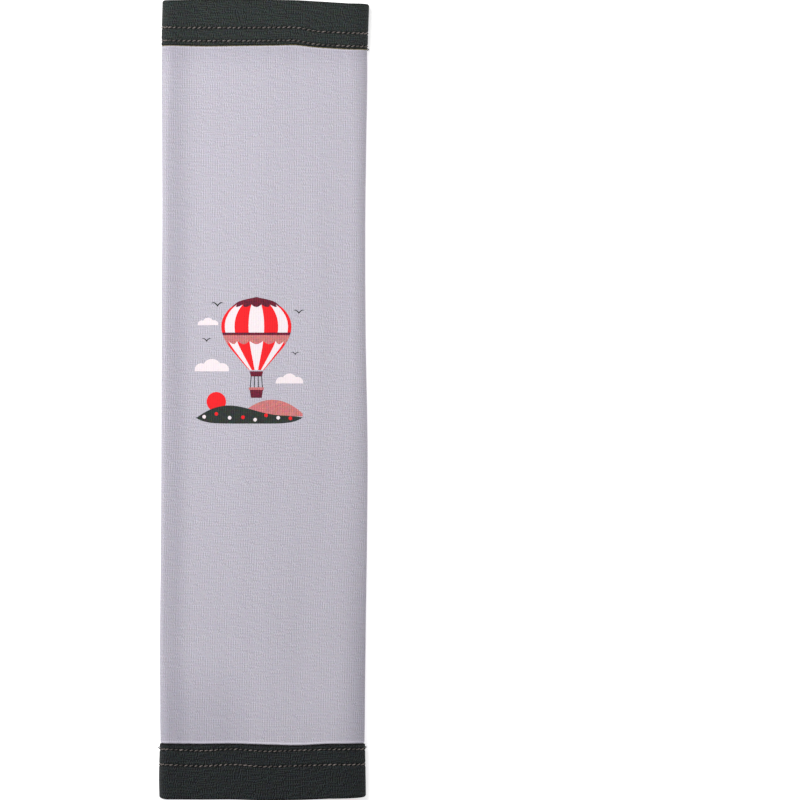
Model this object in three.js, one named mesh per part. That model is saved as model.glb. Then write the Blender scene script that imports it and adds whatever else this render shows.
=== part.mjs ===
// A child's arm sleeve, lying flat and a little open: a knit tube with a folded knit band sewn
// on at each end. Each band is one strip of cloth folded at the hem, and its two layers hold the
// tube's edge between them.
// The sleeve lies along Y with its upper arm end towards +Y, and rests on z = 0.
import * as THREE from "three";

// Sizes in millimetres.
const LENGTH = 330; // overall, from the lower hem to the upper hem
const FLAT_WIDTH = 85; // across the sleeve as it lies flat
const SEAM_ALLOWANCE = 10; // how far the tube's edge runs into each cuff
const UPPER_BAND = 9.2; // the upper cuff past the tube's edge, up to its hem
const LOWER_BAND = 13.3; // the lower cuff past the tube's edge, up to its hem
const BODY_KNIT = 0.8; // thickness of the tube's cloth
const CUFF_KNIT = 0.8; // thickness of the cuffs' cloth
const PLY_GAP = 0.3; // between the two layers of a cuff
const CLEARANCE = 0.3; // between the tube's edge and the cuff round it
const BODY_GAP = 8; // clear height inside the tube at mid-length
const CUFF_GAP = 5.4; // clear height inside a cuff
const LEFT_REACH = 1.6; // how far the hollow runs sideways into the left fold, above its middle
const RIGHT_REACH = 5; // how far it runs into the right fold, which is rounder
const STEP_LENGTH = 1.8; // along the sleeve, where a layer steps over another's edge
const RISE_LENGTH = 45; // along the sleeve, where the tube rises to a cuff's height

// Shares of other sizes.
const EDGE_ROUNDING = 0.3; // how far a cut edge bulges, of the cloth's thickness

// What follows from the sizes.
const UPPER_CUFF = SEAM_ALLOWANCE + UPPER_BAND;
const LOWER_CUFF = SEAM_ALLOWANCE + LOWER_BAND;
const TUCK_DEPTH = CUFF_KNIT + CLEARANCE; // of the tube's outer face inside a cuff
const CUFF_WALL = TUCK_DEPTH + BODY_KNIT + CLEARANCE + CUFF_KNIT; // both layers and the tube's edge
const HEM_WALL = 2 * CUFF_KNIT + PLY_GAP; // both layers at the hem

// The flat outline. at is a share of the length from the lower hem, left and right are shares of
// half the flat width.
const OUTLINE = [
  { at: 0, left: 1.013, right: 0.985 },
  { at: 0.03, left: 1.018, right: 0.982 },
  { at: 0.07, left: 1.01, right: 0.975 },
  { at: 0.2, left: 1.008, right: 0.979 },
  { at: 0.33, left: 0.995, right: 0.993 },
  { at: 0.44, left: 0.992, right: 0.999 },
  { at: 0.58, left: 0.99, right: 0.98 },
  { at: 0.74, left: 0.983, right: 0.978 },
  { at: 0.88, left: 0.988, right: 0.993 },
  { at: 0.94, left: 0.991, right: 1 },
  { at: 1, left: 0.982, right: 1.018 },
];

// How high the layer on top lies over the layer below, from the left fold at -1 to the right fold
// at 1, as a share of the hollow's clear height: a ridge along the left fold, a long dent beside it
// and a flat crown that falls softly to the right fold.
const CROWN = [
  { across: -1, height: 0.8 },
  { across: -0.8, height: 0.76 },
  { across: -0.5, height: 0.92 },
  { across: -0.1, height: 1 },
  { across: 0.4, height: 0.99 },
  { across: 0.8, height: 0.93 },
  { across: 1, height: 0.9 },
];

// The seam and the hem of each cuff, across the sleeve from the left fold at -1 to the right fold at
// 1, as shares of the cuff's depth. The seam lies so far past that depth. The hem lies so far inside
// the overall length, on the layer on top (over) and on the layer below (under).
const UPPER_EDGES = [
  { across: -1, seam: 0, over: 0.058, under: 0.058 },
  { across: -0.6, seam: 0.006, over: 0.054, under: 0.013 },
  { across: -0.2, seam: -0.002, over: 0.051, under: 0 },
  { across: 0.2, seam: -0.011, over: 0.054, under: 0.039 },
  { across: 0.6, seam: 0.03, over: 0.086, under: 0.096 },
  { across: 1, seam: 0.073, over: 0.139, under: 0.139 },
];
const LOWER_EDGES = [
  { across: -1, seam: 0.027, over: 0.057, under: 0.057 },
  { across: -0.6, seam: 0.002, over: 0.025, under: 0.028 },
  { across: -0.2, seam: -0.004, over: 0.023, under: 0.016 },
  { across: 0.2, seam: -0.019, over: 0.019, under: 0 },
  { across: 0.6, seam: -0.014, over: 0.032, under: 0.035 },
  { across: 1, seam: 0.011, over: 0.071, under: 0.071 },
];

// Soft ridges and dents in the layer on top. across and wide are shares of half the flat width, at
// and long are shares of the length, and rise is a share of the tube's clear height.
const WAVES = [
  { across: -0.62, wide: 0.2, at: 0.66, long: 0.16, rise: -0.05 },
  { across: 0.26, wide: 0.16, at: 0.22, long: 0.14, rise: 0.05 },
  { across: -0.25, wide: 0.22, at: 0.4, long: 0.12, rise: 0.04 },
  { across: 0.62, wide: 0.18, at: 0.6, long: 0.16, rise: 0.05 },
  { across: 0.66, wide: 0.16, at: 0.2, long: 0.1, rise: -0.06 },
];

// How finely the shapes are cut.
const UNDER_STEPS = 8;
const OVER_STEPS = 18;
const FOLD_STEPS = 8;
const BODY_STEPS = 20;
const STEP_STEPS = 4;
const HEM_STEPS = 5;

// A smooth curve through each column of a table, against the table's first column.
function curvesOf(rows) {
  const [by, ...columns] = Object.keys(rows[0]);
  const places = rows.map((row) => row[by]);
  return Object.fromEntries(
    columns.map((column) => {
      const curve = new THREE.CubicInterpolant(places, rows.map((row) => row[column]), 1);
      return [column, (at) => curve.evaluate(at)[0]];
    }),
  );
}

const outlineShare = curvesOf(OUTLINE);
const crownShare = curvesOf(CROWN);
const UPPER_END = { toHem: 1, cuff: UPPER_CUFF, share: curvesOf(UPPER_EDGES) };
const LOWER_END = { toHem: -1, cuff: LOWER_CUFF, share: curvesOf(LOWER_EDGES) };

const bell = (distance) => Math.exp(-distance * distance);
const shareOfLength = (y) => y / LENGTH + 0.5;

// What the soft ridges and dents add to the layer on top. They fade out at the side folds.
function waveHeight(across, y) {
  const at = shareOfLength(y);
  const waves = WAVES.map(
    (wave) => wave.rise * bell((across - wave.across) / wave.wide) * bell((at - wave.at) / wave.long),
  );
  return BODY_GAP * (1 - across ** 4) * waves.reduce((sum, height) => sum + height, 0);
}

// The sleeve's outer section at a place along it. Each side fold has its outermost place, its
// half height, and how far in it starts above its middle (reach). Below its middle it is round.
function sectionAt(y) {
  const at = shareOfLength(y);
  const fromUpperSeam = LENGTH / 2 - UPPER_CUFF - y;
  const fromLowerSeam = y + LENGTH / 2 - LOWER_CUFF;
  const toCuff = 1 - THREE.MathUtils.smoothstep(Math.min(fromUpperSeam, fromLowerSeam), 0, RISE_LENGTH);
  const wall = THREE.MathUtils.lerp(BODY_KNIT, CUFF_WALL, toCuff);
  const gap = THREE.MathUtils.lerp(BODY_GAP, CUFF_GAP, toCuff);
  const heightAt = (across) => 2 * wall + gap * crownShare.height(across) + waveHeight(across, y);
  return {
    heightAt,
    left: {
      edge: (-outlineShare.left(at) * FLAT_WIDTH) / 2,
      radius: heightAt(-1) / 2,
      reach: wall + LEFT_REACH,
    },
    right: {
      edge: (outlineShare.right(at) * FLAT_WIDTH) / 2,
      radius: heightAt(1) / 2,
      reach: wall + RIGHT_REACH,
    },
  };
}

// Once round the sleeve: the layer below from left to right, the right fold, the layer on top from
// right to left, and the left fold. across is the place between the folds, from -1 to 1, and
// turn is the angle at which a fold faces, from +X towards +Z.
function ringOfPoints() {
  const points = [];
  for (let i = 0; i < UNDER_STEPS; i++)
    points.push({ layer: "under", across: -1 + (2 * i) / UNDER_STEPS, lift: 0 });
  for (let i = 0; i < FOLD_STEPS; i++) {
    const turn = -Math.PI / 2 + (Math.PI * i) / FOLD_STEPS;
    points.push({ layer: "fold", across: 1, turn, lift: (1 + Math.sin(turn)) / 2 });
  }
  for (let i = 0; i < OVER_STEPS; i++)
    points.push({ layer: "over", across: 1 - (2 * i) / OVER_STEPS, lift: 1 });
  for (let i = 0; i < FOLD_STEPS; i++) {
    const turn = Math.PI / 2 + (Math.PI * i) / FOLD_STEPS;
    points.push({ layer: "fold", across: -1, turn, lift: (1 + Math.sin(turn)) / 2 });
  }
  return points;
}

// The sleeve's outer skin at one point of the ring, and the way that it faces there. x is the place
// across the sleeve and y the height.
function skinAt(point, y) {
  const { heightAt, left, right } = sectionAt(y);
  if (point.layer === "fold") {
    const fold = point.across < 0 ? left : right;
    const reach = Math.sin(point.turn) > 0 ? fold.reach : fold.radius;
    const start = fold.edge - point.across * reach;
    const turned = new THREE.Vector2(Math.cos(point.turn), Math.sin(point.turn));
    return {
      skin: new THREE.Vector2(start + reach * turned.x, fold.radius * (1 + turned.y)),
      outward: new THREE.Vector2(turned.x * fold.radius, turned.y * reach).normalize(),
    };
  }
  const over = point.layer === "over";
  const from = left.edge + (over ? left.reach : left.radius);
  const to = right.edge - (over ? right.reach : right.radius);
  const skin = new THREE.Vector2(THREE.MathUtils.lerp(from, to, (1 + point.across) / 2), 0);
  const outward = new THREE.Vector2(0, -1);
  if (over) {
    const nudge = 0.01;
    const before = Math.max(point.across - nudge, -1);
    const after = Math.min(point.across + nudge, 1);
    const run = ((after - before) * (to - from)) / 2;
    skin.y = heightAt(point.across);
    outward.set(heightAt(before) - heightAt(after), run).normalize();
  }
  return { skin, outward };
}

// A point so far under the sleeve's outer skin, measured square to the skin.
function place(point, y, depth) {
  const { skin, outward } = skinAt(point, y);
  skin.addScaledVector(outward, -depth);
  return new THREE.Vector3(skin.x, y, skin.y);
}

// Where a cuff's seam and hem lie along the sleeve, at a point of the ring.
function seamAt(point, end) {
  return end.toHem * (LENGTH / 2 - (1 + end.share.seam(point.across)) * end.cuff);
}

function hemAt(point, end) {
  const inside = THREE.MathUtils.lerp(
    end.share.under(point.across),
    end.share.over(point.across),
    point.lift,
  );
  return end.toHem * (LENGTH / 2 - inside * end.cuff);
}

// A soft step in a layer's middle line, from one place and depth to another. x is the place along
// the sleeve and y the depth.
function step(from, to) {
  return Array.from({ length: STEP_STEPS + 1 }, (_, i) => {
    const t = i / STEP_STEPS;
    return new THREE.Vector2(
      THREE.MathUtils.lerp(from.x, to.x, t),
      THREE.MathUtils.lerp(from.y, to.y, THREE.MathUtils.smoothstep(t, 0, 1)),
    );
  });
}

// The outline of a layer of cloth, from its middle line and its thickness: one face, a rounded
// edge, the other face and the other edge.
function clothOutline(middleLine, thickness) {
  const last = middleLine.length - 1;
  const along = middleLine.map((_, i) => {
    const before = middleLine[Math.max(i - 1, 0)];
    const after = middleLine[Math.min(i + 1, last)];
    return new THREE.Vector2().subVectors(after, before).normalize();
  });
  const face = (side) =>
    middleLine.map((p, i) =>
      new THREE.Vector2(-along[i].y, along[i].x).multiplyScalar((side * thickness) / 2).add(p),
    );
  const bulge = EDGE_ROUNDING * thickness;
  const startEdge = middleLine[0].clone().addScaledVector(along[0], -bulge);
  const endEdge = middleLine[last].clone().addScaledVector(along[last], bulge);
  return [...face(-1), endEdge, ...face(1).reverse(), startEdge];
}

// The tube's cloth at one point of the ring, from inside the lower cuff to inside the upper one.
function bodyOutline(point) {
  const openDepth = BODY_KNIT / 2;
  const tuckedDepth = TUCK_DEPTH + BODY_KNIT / 2;
  const edgeInset = SEAM_ALLOWANCE - EDGE_ROUNDING * BODY_KNIT;
  const lower = seamAt(point, LOWER_END);
  const upper = seamAt(point, UPPER_END);
  const lowerOpen = lower + CLEARANCE + STEP_LENGTH;
  const upperOpen = upper - CLEARANCE - STEP_LENGTH;
  const middleLine = [
    new THREE.Vector2(lower - edgeInset, tuckedDepth),
    ...step(new THREE.Vector2(lower + CLEARANCE, tuckedDepth), new THREE.Vector2(lowerOpen, openDepth)),
  ];
  for (let i = 1; i < BODY_STEPS; i++) {
    // Closer together near the cuffs, where the tube rises.
    const share = (1 - Math.cos((Math.PI * i) / BODY_STEPS)) / 2;
    middleLine.push(new THREE.Vector2(THREE.MathUtils.lerp(lowerOpen, upperOpen, share), openDepth));
  }
  middleLine.push(
    ...step(new THREE.Vector2(upperOpen, openDepth), new THREE.Vector2(upper - CLEARANCE, tuckedDepth)),
    new THREE.Vector2(upper + edgeInset, tuckedDepth),
  );
  return clothOutline(middleLine, BODY_KNIT);
}

// A cuff's cloth at one point of the ring: the outer layer from the seam to the hem, the fold, and
// the inner layer back to the seam, which steps round the tube's edge.
function cuffOutline(point, end) {
  const seam = seamAt(point, end);
  const depthOfCuff = (hemAt(point, end) - seam) * end.toHem;
  const hemRadius = HEM_WALL / 2;
  const foldRadius = hemRadius - CUFF_KNIT / 2;
  const foldStart = depthOfCuff - hemRadius;
  const edgeInset = EDGE_ROUNDING * CUFF_KNIT;
  const innerDepth = CUFF_WALL - CUFF_KNIT / 2;
  const tubeEdge = SEAM_ALLOWANCE + CLEARANCE;
  const middleLine = [
    new THREE.Vector2(edgeInset, CUFF_KNIT / 2),
    new THREE.Vector2(tubeEdge, CUFF_KNIT / 2),
  ];
  for (let i = 0; i <= HEM_STEPS; i++) {
    const angle = -Math.PI / 2 + (Math.PI * i) / HEM_STEPS;
    middleLine.push(
      new THREE.Vector2(foldStart + foldRadius * Math.cos(angle), hemRadius + foldRadius * Math.sin(angle)),
    );
  }
  middleLine.push(
    ...step(
      new THREE.Vector2(tubeEdge + STEP_LENGTH, HEM_WALL - CUFF_KNIT / 2),
      new THREE.Vector2(tubeEdge, innerDepth),
    ),
    new THREE.Vector2(edgeInset, innerDepth),
  );
  const outline = clothOutline(middleLine, CUFF_KNIT);
  outline.forEach((p) => {
    p.x = seam + end.toHem * p.x;
  });
  return end.toHem > 0 ? outline : outline.reverse();
}

// A closed band round the sleeve, from the outline of its cloth at each point of the ring.
function bandGeometry(outlineAt) {
  const ring = ringOfPoints();
  const outlines = ring.map(outlineAt);
  const around = ring.length;
  const along = outlines[0].length;
  const positions = ring.flatMap((point, i) =>
    outlines[i].flatMap((p) => place(point, p.x, p.y).toArray()),
  );
  const corner = (i, j) => (i % around) * along + (j % along);
  const index = [];
  for (let i = 0; i < around; i++)
    for (let j = 0; j < along; j++) {
      index.push(corner(i, j), corner(i, j + 1), corner(i + 1, j));
      index.push(corner(i + 1, j), corner(i, j + 1), corner(i + 1, j + 1));
    }
  const geometry = new THREE.BufferGeometry();
  geometry.setAttribute("position", new THREE.Float32BufferAttribute(positions, 3));
  geometry.setIndex(index);
  geometry.computeVertexNormals();
  return geometry;
}

const lavenderKnit = new THREE.MeshStandardMaterial({ color: 0xc3c0cc, roughness: 0.9, metalness: 0 });
const darkGreenKnit = new THREE.MeshStandardMaterial({ color: 0x363b3a, roughness: 0.92, metalness: 0 });

function piece(name, outlineAt, material) {
  const mesh = new THREE.Mesh(bandGeometry(outlineAt), material);
  mesh.name = name;
  return mesh;
}

const armSleeve = new THREE.Group();
armSleeve.add(
  piece("sleeve_body", bodyOutline, lavenderKnit),
  piece("upper_cuff", (point) => cuffOutline(point, UPPER_END), darkGreenKnit),
  piece("lower_cuff", (point) => cuffOutline(point, LOWER_END), darkGreenKnit),
);

export default armSleeve;
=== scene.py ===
"""The looks of a knit arm sleeve that lies flat: its tube and folded cuffs with their knit, the cover
stitching with the thread inside, and a print on the front. All sizes are in metres, in the frame of
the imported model: +Y towards the upper arm end, +X to the right seen from above, +Z up."""

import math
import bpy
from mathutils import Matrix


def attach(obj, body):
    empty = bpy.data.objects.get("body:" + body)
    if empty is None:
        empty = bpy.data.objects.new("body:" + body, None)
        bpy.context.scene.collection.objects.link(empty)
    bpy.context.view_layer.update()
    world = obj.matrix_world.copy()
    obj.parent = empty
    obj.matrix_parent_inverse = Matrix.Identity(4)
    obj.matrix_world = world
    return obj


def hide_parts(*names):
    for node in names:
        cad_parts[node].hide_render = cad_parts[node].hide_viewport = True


bl_info = {
    "name": "Knit Arm Sleeve",
    "version": (1, 0, 0),
    "blender": (4, 5, 0),
    "location": "3D View > Sidebar > Arm Sleeve",
    "description": "Knit tube, folded cuffs, cover stitching and print of an arm sleeve",
    "category": "Object",
}

from dataclasses import dataclass

import bpy
import numpy as np

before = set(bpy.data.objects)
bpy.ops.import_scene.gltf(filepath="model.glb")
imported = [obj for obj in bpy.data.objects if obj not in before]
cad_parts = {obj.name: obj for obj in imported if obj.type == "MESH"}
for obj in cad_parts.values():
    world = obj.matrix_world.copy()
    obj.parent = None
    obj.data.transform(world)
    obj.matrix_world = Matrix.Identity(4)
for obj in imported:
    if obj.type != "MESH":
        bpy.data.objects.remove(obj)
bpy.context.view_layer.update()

MM = 0.001
BODY = "root"
ENDS = ("upper", "lower")
ROWS = (0, 1)

# The forms follow the part's own tables, with hems, folds and crown that lie up to a millimetre off
# them. at is a share of the length from the lower hem, and across runs from the left fold at -1 to the
# right fold at 1. left and right are shares of half the width.
OUTLINE = [
    {"at": 0.00, "left": 1.010, "right": 0.993},
    {"at": 0.03, "left": 1.014, "right": 0.990},
    {"at": 0.07, "left": 1.006, "right": 0.984},
    {"at": 0.20, "left": 1.006, "right": 0.989},
    {"at": 0.33, "left": 0.997, "right": 1.003},
    {"at": 0.44, "left": 0.993, "right": 1.008},
    {"at": 0.58, "left": 0.991, "right": 0.990},
    {"at": 0.74, "left": 0.984, "right": 0.987},
    {"at": 0.88, "left": 0.988, "right": 1.003},
    {"at": 0.94, "left": 0.990, "right": 1.010},
    {"at": 1.00, "left": 0.980, "right": 1.026},
]
# The height of the layer on top, as a share of the hollow's clear height.
CROWN = [
    {"across": -1.0, "height": 0.94},
    {"across": -0.9, "height": 0.85},
    {"across": -0.78, "height": 0.77},
    {"across": -0.5, "height": 0.85},
    {"across": -0.1, "height": 1.00},
    {"across": 0.4, "height": 0.99},
    {"across": 0.8, "height": 0.93},
    {"across": 1.0, "height": 0.90},
]
# Each cuff's edges as shares of its depth: how far its seam lies past that depth, and its hem inside the
# sleeve's length, on the layer on top (over) and the layer below (under). near is how far the row of
# stitches next to the seam lies from it, in millimetres.
UPPER_EDGES = [
    {"across": -1.0, "seam": -0.009, "over": 0.021, "under": 0.016, "near": 1.89},
    {"across": -0.6, "seam": 0.006, "over": 0.006, "under": -0.012, "near": 1.92},
    {"across": -0.2, "seam": -0.002, "over": 0.007, "under": -0.016, "near": 1.98},
    {"across": 0.2, "seam": -0.011, "over": 0.019, "under": 0.004, "near": 1.86},
    {"across": 0.4, "seam": -0.016, "over": 0.027, "under": 0.035, "near": 1.77},
    {"across": 0.6, "seam": 0.024, "over": 0.048, "under": 0.055, "near": 1.22},
    {"across": 1.0, "seam": 0.073, "over": 0.094, "under": 0.110, "near": 1.00},
]
LOWER_EDGES = [
    {"across": -1.0, "seam": 0.016, "over": 0.029, "under": 0.070, "near": 2.40},
    {"across": -0.6, "seam": 0.009, "over": 0.025, "under": 0.028, "near": 2.66},
    {"across": -0.2, "seam": 0.016, "over": 0.029, "under": 0.016, "near": 2.40},
    {"across": 0.2, "seam": 0.000, "over": 0.010, "under": 0.000, "near": 2.80},
    {"across": 0.6, "seam": -0.014, "over": 0.018, "under": 0.035, "near": 2.15},
    {"across": 1.0, "seam": 0.011, "over": 0.040, "under": 0.100, "near": 2.10},
]
# Soft ridges and dents of the layer on top. rise is a share of the hollow's clear height.
WAVES = [
    {"across": -0.62, "wide": 0.20, "at": 0.66, "long": 0.16, "rise": -0.05},
    {"across": 0.26, "wide": 0.16, "at": 0.22, "long": 0.14, "rise": 0.05},
    {"across": -0.25, "wide": 0.22, "at": 0.40, "long": 0.12, "rise": 0.04},
    {"across": 0.62, "wide": 0.18, "at": 0.60, "long": 0.16, "rise": 0.05},
    {"across": 0.66, "wide": 0.16, "at": 0.20, "long": 0.10, "rise": -0.06},
]
# Small dents that the stitching pulls into the tube beside the seams.
PUCKERS = [
    {"across": -0.80, "wide": 0.10, "at": 0.918, "long": 0.022, "rise": -0.035},
    {"across": 0.43, "wide": 0.035, "at": 0.926, "long": 0.012, "rise": -0.018},
    {"across": 0.10, "wide": 0.06, "at": 0.930, "long": 0.012, "rise": -0.008},
    {"across": 0.78, "wide": 0.06, "at": 0.085, "long": 0.020, "rise": -0.020},
]
# Long flutes of the layer on top, which wander sideways along the sleeve. rise is a share of the
# hollow's clear height.
FLUTES = [
    {"rise": 0.007, "waves": 11, "start": 0.6, "wander": 1.5, "bends": 4.2, "bend_start": 0},
    {"rise": 0.004, "waves": 23, "start": 0, "wander": -2.1, "bends": 3.1, "bend_start": 1},
]
# Where, on the way to the wrist, the left fold's reach shrinks and the right fold's grows, as shares
# of the length, and the share that the left one loses.
LEFT_SHRINKS = {"below": 0.7, "over": 0.4}
LEFT_LOSS = 0.5
RIGHT_GROWS = {"below": 0.62, "over": 0.4}
# Painted shades of the tube's knit: how strong they are, where they start and how wide they are, from a fold
# or a seam, and from where on they grow towards the wrist.
PAINTED_FOLD_SHADES = {
    "left": {"share": 0.55, "off": 0.0062, "wide": 0.0038},
    "right": {"off": 0.0015, "wide": 0.0055, "below": 0.42, "over": 0.3},
}
PAINTED_SEAM_SHADES = {
    "upper": {"share": 0.65, "wide": 0.007},
    "lower": {"share": 0.65, "off": 0.026, "wide": 0.016, "below": 0.20, "over": 0.10},
}
# The painted highlight beside each seam, a pale line on the tube's knit: how strong, how far from the seam,
# how wide.
SEAM_HIGHLIGHT_LINES = {
    "upper": {"share": 0.7, "off": 0.00042, "wide": 0.00032},
    "lower": {"share": 1.0, "off": 0.00050, "wide": 0.00038},
}
# Each cuff has painted shade at its seam for so far, which then fades, and a line of painted shade along its
# hem.
SEAM_DARK = {"upper": 0.0, "lower": 0.0002}
SEAM_FADE = 0.0007
HEM_DARK = 0.85
HEM_DARK_WIDE = 0.0005
# How a row of stitches wanders off its line: how far, in millimetres, and how quickly.
ROW_WANDER = [
    {"off": 0.10, "length": 0.0112, "start": 0},
    {"off": 0.07, "length": 0.0047, "start": 1},
]
# The mark of a row of stitches: its groove, with painted shade at the bottom, and low banks beside it.
GROOVE_WIDE = 0.0006
GROOVE_DARK = 0.65
GROOVE_DARK_WIDE = 0.00046
BANK_OFF = 0.0012
BANK_WIDE = 0.0006
BANK_RISE = 0.00005
# The needle holes, which slope across the row and hold painted shade.
HOLE_LONG = 0.00058
HOLE_WIDE = 0.00043
HOLE_UP = 0.00008
HOLE_SLOPE = math.radians(48)
# How much the stitches differ: their turn in radians, and their sizes and shades as shares.
STITCH_SCATTER = {
    "turn": (-0.16, 0.16),
    "long": (0.85, 1.12),
    "wide": (0.85, 1.15),
    "high": (0.8, 1.2),
    "shade": (0.0, 1.0),
}
# The knit's pattern: how far its columns of loops wander, in columns, how steep the loops' legs are,
# in rows, how deep the legs and the columns are, how many cells of chance a row of loops holds, how
# far these climb, in cells for each row, and the strongest that a loop gets.
COLUMN_WANDER = 0.4
LEG_STEEPNESS = 1.2
LEG_DEPTH = 0.7
COLUMN_DEPTH = 0.02
CELLS_PER_ROW = 1.9
CELL_CLIMB = 0.37
STRONGEST_LOOP = 2.0
# The tones of the knit's colour under the cuffs' painted shade and under the painted highlight beside the
# seams, and its tint under the tube's painted shade.
PAINTED_CUFF_SHADE_TONE = 0.02
SEAM_HIGHLIGHT_TONE = 1.9
PAINTED_TUBE_SHADE_TINT = (0.84, 0.84, 0.86, 1.0)
# The thread's twist: the length of a turn, and its tones between and on the plies, which are painted shade
# between them and a painted highlight on them.
TWIST_LENGTH = 0.0009
PLY_SHADE_AND_HIGHLIGHT_TONES = (0.3, 1.7)
# How unevenly the knit shows through the print, and how strongly through each colour.
PRINT_UNEVEN = 1.5
PRINT_CONTRAST = {"red": 0.10, "white": 0.06, "maroon": 0.5, "salmon": 0.3, "green": 0.5}
# The course of a thread end at a fold: outwards, along and up, in millimetres.
THREAD_END = [(-0.5, -0.25, 0.1), (0.15, -0.2, 0.3), (0.42, 0.05, 0.35), (0.3, 0.3, 0.2), (-0.4, 0.3, 0.0)]


class SleeveSizes(bpy.types.PropertyGroup):
    """Sizes of the sleeve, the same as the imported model's."""

    length: bpy.props.FloatProperty(
        name="Length", description="From hem to hem", default=0.330, unit="LENGTH"
    )
    flat_width: bpy.props.FloatProperty(
        name="Flat width", description="Across the sleeve as it lies", default=0.085, unit="LENGTH"
    )
    upper_cuff: bpy.props.FloatProperty(
        name="Upper cuff", description="Depth of the cuff at the upper arm", default=0.0192, unit="LENGTH"
    )
    lower_cuff: bpy.props.FloatProperty(
        name="Lower cuff", description="Depth of the cuff at the wrist", default=0.0233, unit="LENGTH"
    )
    seam_allowance: bpy.props.FloatProperty(
        name="Seam allowance", description="How far the tube runs into a cuff", default=0.010, unit="LENGTH"
    )
    cloth: bpy.props.FloatProperty(
        name="Cloth", description="Thickness of the knit", default=0.0008, unit="LENGTH"
    )
    ply_gap: bpy.props.FloatProperty(
        name="Ply gap", description="Between a cuff's two layers", default=0.0003, unit="LENGTH"
    )
    clearance: bpy.props.FloatProperty(
        name="Clearance", description="Round the tube's edge in a cuff", default=0.0003, unit="LENGTH"
    )
    tube_hollow: bpy.props.FloatProperty(
        name="Tube hollow", description="Clear height inside the tube", default=0.008, unit="LENGTH"
    )
    cuff_hollow: bpy.props.FloatProperty(
        name="Cuff hollow", description="Clear height inside a cuff", default=0.0054, unit="LENGTH"
    )
    left_reach: bpy.props.FloatProperty(
        name="Left reach", description="How far the left fold runs in", default=0.0016, unit="LENGTH"
    )
    right_reach: bpy.props.FloatProperty(
        name="Right reach", description="How far the right fold runs in", default=0.005, unit="LENGTH"
    )
    wrist_reach: bpy.props.FloatProperty(
        name="Wrist reach", description="What the right fold gains near the wrist",
        default=0.007, unit="LENGTH",
    )
    rise_length: bpy.props.FloatProperty(
        name="Rise", description="Where the tube rises to a cuff's height", default=0.045, unit="LENGTH"
    )


class StitchSettings(bpy.types.PropertyGroup):
    """The cover stitching of the cuffs."""

    per_row: bpy.props.IntProperty(
        name="Stitches", description="Stitches once round the sleeve", default=89, min=8
    )
    upper_rows: bpy.props.FloatProperty(
        name="Upper rows", description="Between the two rows of the upper cuff", default=0.0054, unit="LENGTH"
    )
    lower_rows: bpy.props.FloatProperty(
        name="Lower rows", description="Between the two rows of the lower cuff",
        default=0.00632, unit="LENGTH",
    )
    thread: bpy.props.FloatProperty(
        name="Thread", description="Thickness of the sewing thread", default=0.00048, unit="LENGTH"
    )
    reach: bpy.props.FloatProperty(
        name="Stitch", description="How much of the pitch a stitch spans", default=0.66, subtype="FACTOR"
    )
    slant: bpy.props.FloatProperty(
        name="Slant", description="Turn of a stitch out of its row", default=math.radians(18), subtype="ANGLE"
    )
    groove: bpy.props.FloatProperty(
        name="Groove", description="How deep the rows sink into the knit", default=0.00020, unit="LENGTH"
    )
    hole: bpy.props.FloatProperty(
        name="Needle hole", description="How deep the needle holes are", default=0.00036, unit="LENGTH"
    )
    pressed: bpy.props.FloatProperty(
        name="Pressed in", description="How much deeper the rows lie underneath",
        default=0.0003, unit="LENGTH",
    )
    seed: bpy.props.IntProperty(name="Seed", description="Seed of the stitches' scatter", default=7)


class KnitSettings(bpy.types.PropertyGroup):
    """Colours and gauge of the knits, the threads and the print."""

    tube_colour: bpy.props.FloatVectorProperty(
        name="Tube", description="Lavender grey of the tube", default=(0.485, 0.463, 0.529), subtype="COLOR"
    )
    upper_cuff_colour: bpy.props.FloatVectorProperty(
        name="Upper cuff", description="Dark green grey", default=(0.0236, 0.0288, 0.0277), subtype="COLOR"
    )
    lower_cuff_colour: bpy.props.FloatVectorProperty(
        name="Lower cuff", description="Dark green grey", default=(0.0158, 0.0188, 0.0197), subtype="COLOR"
    )
    thread_colour: bpy.props.FloatVectorProperty(
        name="Stitches", description="Brown grey of the cover stitches", default=(0.115, 0.098, 0.092),
        subtype="COLOR",
    )
    edge_thread_colour: bpy.props.FloatVectorProperty(
        name="Edge thread", description="Olive of the thread at the upper seam", default=(0.40, 0.34, 0.16),
        subtype="COLOR",
    )
    wale: bpy.props.FloatProperty(
        name="Wale", description="Width of one column of loops", default=0.00096, unit="LENGTH"
    )
    course: bpy.props.FloatProperty(
        name="Course", description="Height of one row of loops", default=0.00078, unit="LENGTH"
    )


class PrintSettings(bpy.types.PropertyGroup):
    """Place and colours of the print."""

    middle_x: bpy.props.FloatProperty(
        name="Middle X", description="Middle of the print across", default=-0.0059, unit="LENGTH"
    )
    middle_y: bpy.props.FloatProperty(
        name="Middle Y", description="Middle of the print along", default=0.0163, unit="LENGTH"
    )
    red: bpy.props.FloatVectorProperty(
        name="Red", description="Red of the print", default=(0.85, 0.0137, 0.0197), subtype="COLOR"
    )
    white: bpy.props.FloatVectorProperty(
        name="White", description="Pinkish white of the print", default=(0.85, 0.76, 0.79), subtype="COLOR"
    )
    maroon: bpy.props.FloatVectorProperty(
        name="Maroon", description="Maroon of the print", default=(0.135, 0.012, 0.030), subtype="COLOR"
    )
    salmon: bpy.props.FloatVectorProperty(
        name="Salmon", description="Salmon of the print", default=(0.56, 0.18, 0.18), subtype="COLOR"
    )
    green: bpy.props.FloatVectorProperty(
        name="Green", description="Dark green grey of the print", default=(0.026, 0.033, 0.029),
        subtype="COLOR",
    )


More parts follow.
